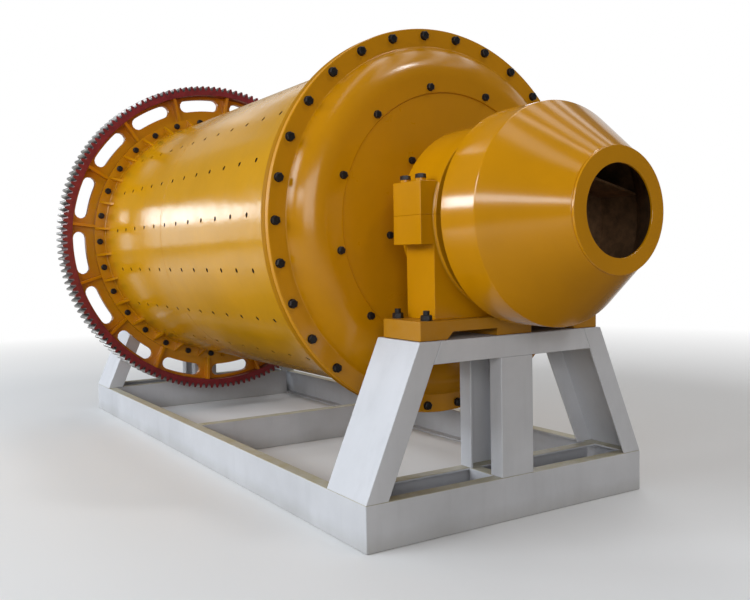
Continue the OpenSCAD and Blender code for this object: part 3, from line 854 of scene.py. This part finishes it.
class MILL_OT_covers(bpy.types.Operator):
    """Make the end covers, the shell's flanges and the trunnions"""

    bl_idname = "mill.covers"
    bl_label = "Covers and trunnions"

    def cover_outline(self, face):
        """The flat bolted ring, the dish and the flat ring inside it, and back along the inside."""
        ring, dish, wall = 0.861, 1.055, 0.045
        bend = ((dish - ring) ** 2 + COVER_RISE ** 2) / (2 * COVER_RISE)
        middle = face + COVER_RISE - bend
        lean = math.asin((dish - ring) / bend)
        inner_lean = math.acos((bend - COVER_RISE - COVER_THICKNESS) / (bend - wall))

        def arc(radius, leans):
            return [(middle + radius * math.cos(a), ring + radius * math.sin(a)) for a in leans]

        outer = arc(bend, [lean * k / 18 for k in range(18, -1, -1)])
        inner = arc(bend - wall, [inner_lean * k / 14 for k in range(15)])
        return ([(face - COVER_THICKNESS, FLANGE_RADIUS), (face, FLANGE_RADIUS)] + outer
                + [(face + COVER_RISE, COVER_BORE), (face + COVER_RISE - wall, COVER_BORE)] + inner)

    def trunnion_outline(self, face, end, bore):
        """The disc in the cover's bore, its flange behind the cover, the rounded neck and the journal."""
        back, flange, overlap, fillet = face + 0.080, 0.040, 0.835, 0.060
        front = face + COVER_RISE - DISC_SET
        rounding = [(front + fillet - fillet * math.sin(a), NECK_RADIUS + fillet - fillet * math.cos(a))
                    for a in (math.pi / 2 * k / 8 for k in range(8, -1, -1))]
        return ([(back - flange, bore), (back - flange, overlap), (back, overlap), (back, COVER_BORE),
                 (front, COVER_BORE)] + rounding + [(end, NECK_RADIUS), (end, bore)])

    def execute(self, context):
        settle(plain_ring("feed_flange_ring", "feed_flange", SHELL_RADIUS, flange_paint, 0.004),
               DRUM, "machine_paint", "feed_flange")
        settle(softened("gear_flange_ring", "gear_flange", web_orange, 0.003),
               DRUM, "machine_paint", "gear_flange")
        feed_face = span("feed_cover")[0] + COVER_THICKNESS
        gear_face = -span("gear_cover")[1] + COVER_THICKNESS
        settle(turned("feed_end_cover", self.cover_outline(feed_face), cover_paint, 0.009),
               DRUM, "machine_paint", "feed_cover")
        settle(turned("gear_end_cover", mirrored(self.cover_outline(gear_face)), cover_paint, 0.009),
               DRUM, "machine_paint", "gear_cover")
        feed = self.trunnion_outline(feed_face, span("feed_trunnion")[1], FEED_BORE)
        gear = self.trunnion_outline(gear_face, -span("gear_trunnion")[0], DISCHARGE_BORE)
        settle(turned("feed_trunnion_neck", feed, trunnion_paint), DRUM, "trunnion_paint", "feed_trunnion")
        settle(turned("gear_trunnion_neck", mirrored(gear), trunnion_paint),
               DRUM, "trunnion_paint", "gear_trunnion")
        settle(plain_ring("discharge_flange", "discharge_collar", NECK_RADIUS, gloss_yellow),
               DRUM, "machine_paint", "discharge_collar")
        return {"FINISHED"}


class MILL_OT_gear(bpy.types.Operator):
    """Finish the ring gear, its web and its ribs"""

    bl_idname = "mill.gear"
    bl_label = "Ring gear"

    def execute(self, context):
        settle(softened("gear_rim_teeth", "ring_gear", gear_finish, 0.0015, steps=1),
               DRUM, "gear_steel", "ring_gear")
        settle(softened("gear_web_ribs", "gear_web", web_orange, 0.004), DRUM, "web_paint", "gear_web")
        return {"FINISHED"}


class MILL_OT_feeder(bpy.types.Operator):
    """Make the feeder's back, band, cone, mouth and scoop"""

    bl_idname = "mill.feeder"
    bl_label = "Feeder"

    def execute(self, context):
        start, end = span("feeder_shell")
        bend = start + FEEDER_BAND
        band, mouth = radius_of("feeder_shell"), radius_of("feeder_mouth")
        outline = [(start, band - FEEDER_PLATE), (start, band), (bend, band), (end, mouth),
                   (end, mouth - FEEDER_PLATE), (bend, band - FEEDER_PLATE)]
        settle(turned("feeder_band_cone", outline, feeder_paint, 0.006), DRUM, "machine_paint", "feeder_shell")
        settle(plain_ring("feeder_mouth_ring", "feeder_mouth", MOUTH_BORE, gloss_yellow, 0.004),
               DRUM, "machine_paint", "feeder_mouth")
        settle(plain_ring("feeder_back_plate", "feeder_back", FEED_BORE, feeder_paint),
               DRUM, "machine_paint", "feeder_back")
        settle(softened("feeder_scoop_plate", "feeder_scoop", feeder_brown, 0.002),
               DRUM, "feeder_inside", "feeder_scoop")
        return {"FINISHED"}


class MILL_OT_bearings(bpy.types.Operator):
    """Finish the bearing caps, housings, sole plates and bushes"""

    bl_idname = "mill.bearings"
    bl_label = "Trunnion bearings"

    def execute(self, context):
        for end in ("feed", "gear"):
            for part, paint, ease in (("cap", gloss_yellow, 0.004), ("housing", gloss_yellow, 0.002),
                                      ("sole", sole_paint, 0.006)):
                node = f"{end}_{part}"
                casting = softened(node + "_casting", node, paint, ease, outer_only=True)
                settle(casting, STAND, "housing_paint", node)
            node = f"{end}_bush"
            settle(plain_ring(node + "_lining", node, BUSH_BORE, bearing_metal), STAND, "bush_metal", node)
        return {"FINISHED"}


class MILL_OT_stand(bpy.types.Operator):
    """Finish the stand's channels"""

    bl_idname = "mill.stand"
    bl_label = "Stand"

    def execute(self, context):
        for node in frame["record"]["behaviour"]["bodies"][STAND]:
            upper = any(word in node for word in ("leg", "post", "top_beam"))
            if upper or "beam" in node or "sill" in node:
                paint = stand_white if upper else base_white
                settle(softened(node + "_channel", node, paint, 0.004), STAND, "stand_paint", node)
        return {"FINISHED"}


class MILL_OT_drum_bolts(bpy.types.Operator):
    """Make the bolts of the flanges, the covers and the trunnions"""

    bl_idname = "mill.drum_bolts"
    bl_label = "Drum bolts"

    def execute(self, context):
        size, tree = sizes(), ring_tree()
        flange_head = fastener("flange_head", size.flange_hex, 0.46)
        flange_nut = fastener("flange_nut", size.flange_hex, 0.8)
        cover_head = fastener("cover_head", size.cover_hex, 0.5)
        neck_head = fastener("neck_head", size.neck_hex, 0.5)
        feed = (size.flange_bolts, size.flange_circle, size.feed_turn)
        gear = (size.flange_bolts, size.flange_circle, size.gear_turn)
        cover = (size.cover_bolts, size.cover_circle, size.cover_turn)
        neck = (size.neck_bolts, size.neck_circle, size.neck_turn)
        feed_low, feed_high = span("feed_cover")
        gear_low, gear_high = span("gear_cover")
        rings = (("feed_flange_bolts", flange_head, feed, feed_low + COVER_THICKNESS, 1.0),
                 ("feed_flange_nuts", flange_nut, feed, FEED_FLANGE_INSIDE, -1.0),
                 ("gear_flange_bolts", flange_head, gear, GEAR_FLANGE_INSIDE, 1.0),
                 ("gear_flange_nuts", flange_nut, gear, gear_high - COVER_THICKNESS, -1.0),
                 ("feed_cover_bolts", cover_head, cover, feed_high, 1.0),
                 ("gear_cover_bolts", cover_head, cover, gear_low, -1.0),
                 ("feed_neck_bolts", neck_head, neck, feed_high - DISC_SET, 1.0),
                 ("gear_neck_bolts", neck_head, neck, gear_low + DISC_SET, -1.0))
        for name, part, (count, circle, first), plane, facing in rings:
            made = tree.make(name, {"Fastener": part, "Count": count, "Circle radius": circle,
                                    "First angle": first, "Plane": plane, "Facing": facing,
                                    "Axis height": AXIS_HEIGHT, "Finish": finish_of(bolt_black)})
            settle(made, DRUM, "gear_steel")
        put_away(flange_head, flange_nut, cover_head, neck_head)
        return {"FINISHED"}


class MILL_OT_bearing_bolts(bpy.types.Operator):
    """Make the bolts of the bearing caps and of the sole plates"""

    bl_idname = "mill.bearing_bolts"
    bl_label = "Bearing bolts"

    def boss(self, radius):
        """The raised round seat under a head on the lug."""
        build = bmesh.new()
        disc(build, 32, radius, -0.001, BOSS_HEIGHT)
        return hardware("lug_boss", build, True)

    def execute(self, context):
        size, tree = sizes(), block_tree()
        nut = fastener("foot_nut", size.foot_hex * 1.06, 0.5, 0.42, upright=True)
        head = fastener("lug_head", size.foot_hex, 0.38, upright=True)
        boss = self.boss(size.foot_hex * 0.54)
        lug = AXIS_HEIGHT + LUG_TOP
        for end in ("feed", "gear"):
            low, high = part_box(f"{end}_sole")
            for part, thing, length, width, level, paint, slot in (
                    ("lug_bolts", head, size.lug_length, size.lug_width, lug + BOSS_HEIGHT,
                     bolt_black, "gear_steel"),
                    ("lug_bosses", boss, size.lug_length, size.lug_width, lug, gloss_yellow, "housing_paint"),
                    ("foot_bolts", nut, size.foot_length, size.foot_width, high.z, bolt_black, "gear_steel")):
                made = tree.make(f"{end}_{part}", {
                    "Fastener": thing, "Length": length, "Width": width,
                    "Middle": Vector(((low.x + high.x) / 2, 0, level)), "Finish": finish_of(paint)})
                settle(made, STAND, slot)
        put_away(nut, head, boss)
        return {"FINISHED"}


class MILL_OT_welds(bpy.types.Operator):
    """Lay the weld beads on the drum"""

    bl_idname = "mill.welds"
    bl_label = "Welds"

    ring_steps = 180
    ripple = 0.0016

    def lay(self, tree, name, bead, *rings):
        """One piece of weld beads, in rings at a place along the mill and a radius about its axis."""
        curve = bpy.data.curves.new(name + "_paths", "CURVE")
        curve.dimensions = "3D"
        for x, radius in rings:
            spline = curve.splines.new("POLY")
            spline.points.add(self.ring_steps - 1)
            for k, point in enumerate(spline.points):
                point.co = (*on_circle(x, radius, 2 * math.pi * k / self.ring_steps), 1)
            spline.use_cyclic_u = True
        made = tree.make(name, {"Bead radius": bead, "Ripple": self.ripple, "Finish": finish_of(gloss_yellow)},
                         put(name + "_paths", curve))
        settle(made, DRUM, "machine_paint")

    def execute(self, context):
        tree = bead_tree()
        self.lay(tree, "flange_welds", sizes().flange_weld,
                 (FEED_FLANGE_INSIDE, SHELL_RADIUS), (GEAR_FLANGE_INSIDE, SHELL_RADIUS))
        self.lay(tree, "shell_seam", sizes().weld, (SEAM_AT, SHELL_RADIUS - SEAM_DEPTH))
        return {"FINISHED"}


COOL, PLAIN = (0.88, 0.94, 1.0), (1.0, 1.0, 1.0)

# The lamps: name, place, point that it faces, width and height, power, colour
LAMPS = (
    ("side_windows", (-1.0, -11.0, 6.5), (0, 0, 1.6), (9, 5), 1060, COOL),
    *((f"roof_{k}", (1.0, across, 11.0), (0.8, across * 0.6, 1.6), (16, 1.1), 92, PLAIN)
      for k, across in enumerate((0.6, 3.2, 5.8, 8.4))),
    ("roof_strip", (3.5, 0.9, 11.0), (3.5, 0.4, 1.6), (9, 0.7), 50, PLAIN),
    ("behind_camera", (20.0, -12.0, 6.0), (0, 0, 1.4), (12, 8), 1300, PLAIN),
    ("end_roof_light", (8.5, 4.0, 12.0), (2.5, 0, 1.6), (1.6, 1.2), 200, PLAIN),
    ("band_window", (-8.0, -9.3, 4.4), (2.7, 0, 1.7), (3.6, 1.7), 315, COOL),
    ("cone_window", (8.0, -11.2, 4.9), (3.0, -0.4, 1.8), (4.4, 1.3), 162, COOL),
    ("far_window", (-13.0, -6.1, 3.5), (0.5, -1.0, 1.8), (3.0, 1.4), 84, COOL),
    ("far_doors", (-13.0, -6.1, 1.9), (0.5, -1.0, 1.8), (5.0, 1.7), 31, COOL),
    ("far_side", (0.0, 12.0, 5.0), (0, 0, 1.6), (15, 7.5), 230, PLAIN),
    ("gear_end", (-11.0, 9.5, 6.0), (-2, 0, 1.6), (7, 4), 260, PLAIN),
    ("roof_slit", (-6.6, -1.2, 9.3), (2.7, 0.0, 1.8), (3.2, 0.3), 9, PLAIN),
    ("end_roof", (-16.6, 4.5, 10.1), (1.4, 0.0, 2.6), (6, 1.4), 18, PLAIN),
    ("far_wall", (-14.9, 2.2, 7.0), (0.0, -0.5, 2.2), (9, 6), 52, PLAIN),
)


class MILL_OT_stage(bpy.types.Operator):
    """Make the floor, the backdrop, the lights and the camera"""

    bl_idname = "mill.stage"
    bl_label = "Stage"

    glossy_share = 0.05
    frame_width, focal_length = 750, 843.1

    def shown(self, graph):
        """1 where the camera looks, and a share of that in reflections, so that the paint keeps its depth."""
        rays = graph.add("ShaderNodeLightPath").outputs
        seen = graph.maths("MULTIPLY", rays["Is Glossy Ray"], self.glossy_share)
        for ray in ("Is Camera Ray", "Is Transmission Ray"):
            seen = graph.maths("MAXIMUM", seen, rays[ray])
        return seen

    def floor(self):
        """A pale floor that turns into the white background with distance, and is dim in near reflections."""
        build = bmesh.new()
        bmesh.ops.create_grid(build, x_segments=1, y_segments=1, size=60.0)
        bmesh.ops.translate(build, verts=build.verts, vec=(0, 0, -0.001))
        nodes = Nodes("floor_pale")
        seen = self.shown(nodes)
        reach = nodes.get("ShaderNodeVectorMath", {0: nodes.place}, "Value", operation="LENGTH")
        in_paint = nodes.mix(nodes.fade(reach, 2.8, 8.0), (0.06, 0.04, 0.015, 1), (0.85, 0.82, 0.76, 1))
        glossy_ray = nodes.get("ShaderNodeLightPath", output="Is Glossy Ray")
        lit = nodes.mix(glossy_ray, (0.50, 0.46, 0.40, 1), in_paint)
        nodes.finish(nodes.mix(seen, lit, (0.80, 0.80, 0.80, 1)), 0.9, specular=0.1)
        far = nodes.maths("MULTIPLY", nodes.fade(reach, 4.5, 11.0), seen)
        white = nodes.get("ShaderNodeEmission")
        blend = nodes.get("ShaderNodeMixShader", {0: far, 1: nodes.shader.outputs[0], 2: white})
        nodes.plug(nodes.surface, blend)
        hold("floor", build, nodes.material)

    def world(self):
        """A dim, even room light, and the white background where the camera looks."""
        world = bpy.data.worlds.new("pale_room")
        bpy.context.scene.world = world
        world.use_nodes = True
        graph = Graph(world.node_tree)
        graph.tree.nodes.clear()
        light = graph.get("ShaderNodeBackground", {"Color": (1.0, 0.98, 0.95, 1), "Strength": 0.06})
        white = graph.get("ShaderNodeBackground", {"Color": (1, 1, 1, 1), "Strength": 1.0})
        blend = graph.get("ShaderNodeMixShader", {0: self.shown(graph), 1: light, 2: white})
        graph.plug(graph.add("ShaderNodeOutputWorld").inputs["Surface"], blend)

    def lamp(self, name, place, target, size, power, colour):
        light = bpy.data.lights.new(name, "AREA")
        light.shape = "RECTANGLE"
        light.size, light.size_y = size
        light.energy = power
        light.color = colour
        thing = put(name, light)
        thing.location = place
        thing.rotation_euler = (Vector(target) - Vector(place)).to_track_quat("-Z", "Y").to_euler()
        thing.visible_camera = False

    def camera(self):
        """The camera at the photograph's viewing angle, with its focal length in the photograph's pixels."""
        place = Vector((6.0282, -3.1231, 1.4792))
        yaw, pitch, roll = 0.5643, -0.0537, -0.0190
        ahead = Vector((-math.cos(yaw) * math.cos(pitch), math.sin(yaw) * math.cos(pitch), math.sin(pitch)))
        level = ahead.cross(Vector((0, 0, 1))).normalized()
        upright = level.cross(ahead)
        right = level * math.cos(roll) + upright * math.sin(roll)
        up = upright * math.cos(roll) - level * math.sin(roll)
        view = bpy.data.cameras.new("photo_camera")
        view.sensor_width = 36.0
        view.sensor_fit = "HORIZONTAL"
        view.lens = view.sensor_width * self.focal_length / self.frame_width
        view.clip_end = 200
        thing = put("photo_camera", view)
        turn = Matrix((right, up, -ahead)).transposed().to_4x4()
        thing.matrix_world = Matrix.Translation(place) @ turn
        bpy.context.scene.camera = thing

    def execute(self, context):
        self.floor()
        self.world()
        self.camera()
        for lamp in LAMPS:
            self.lamp(*lamp)
        bpy.context.scene.view_settings.view_transform = "Standard"
        return {"FINISHED"}


OPERATORS = (MILL_OT_shell, MILL_OT_covers, MILL_OT_gear, MILL_OT_feeder, MILL_OT_bearings, MILL_OT_stand,
             MILL_OT_drum_bolts, MILL_OT_bearing_bolts, MILL_OT_welds, MILL_OT_stage)


class MILL_PT_panel(bpy.types.Panel):
    """Lists the mill's pieces in the sidebar"""

    bl_idname = "MILL_PT_panel"
    bl_label = "Ball mill"
    bl_space_type = "VIEW_3D"
    bl_region_type = "UI"
    bl_category = "Ball Mill"

    def draw(self, context):
        for operator in OPERATORS:
            self.layout.operator(operator.bl_idname)
        box = self.layout.box()
        for group in (context.scene.mill_sizes, context.scene.mill_colours):
            for key in group.__annotations__:
                box.prop(group, key)


CLASSES = (MillSizes, MillColours, *OPERATORS, MILL_PT_panel)


def register():
    for kind in CLASSES:
        bpy.utils.register_class(kind)
    bpy.types.Scene.mill_sizes = bpy.props.PointerProperty(type=MillSizes)
    bpy.types.Scene.mill_colours = bpy.props.PointerProperty(type=MillColours)


def unregister():
    del bpy.types.Scene.mill_colours
    del bpy.types.Scene.mill_sizes
    for kind in reversed(CLASSES):
        bpy.utils.unregister_class(kind)


def main():
    register()
    for operator in OPERATORS:
        group, name = operator.bl_idname.split(".")
        getattr(getattr(bpy.ops, group), name)()


if __name__ == "__main__":
    main()
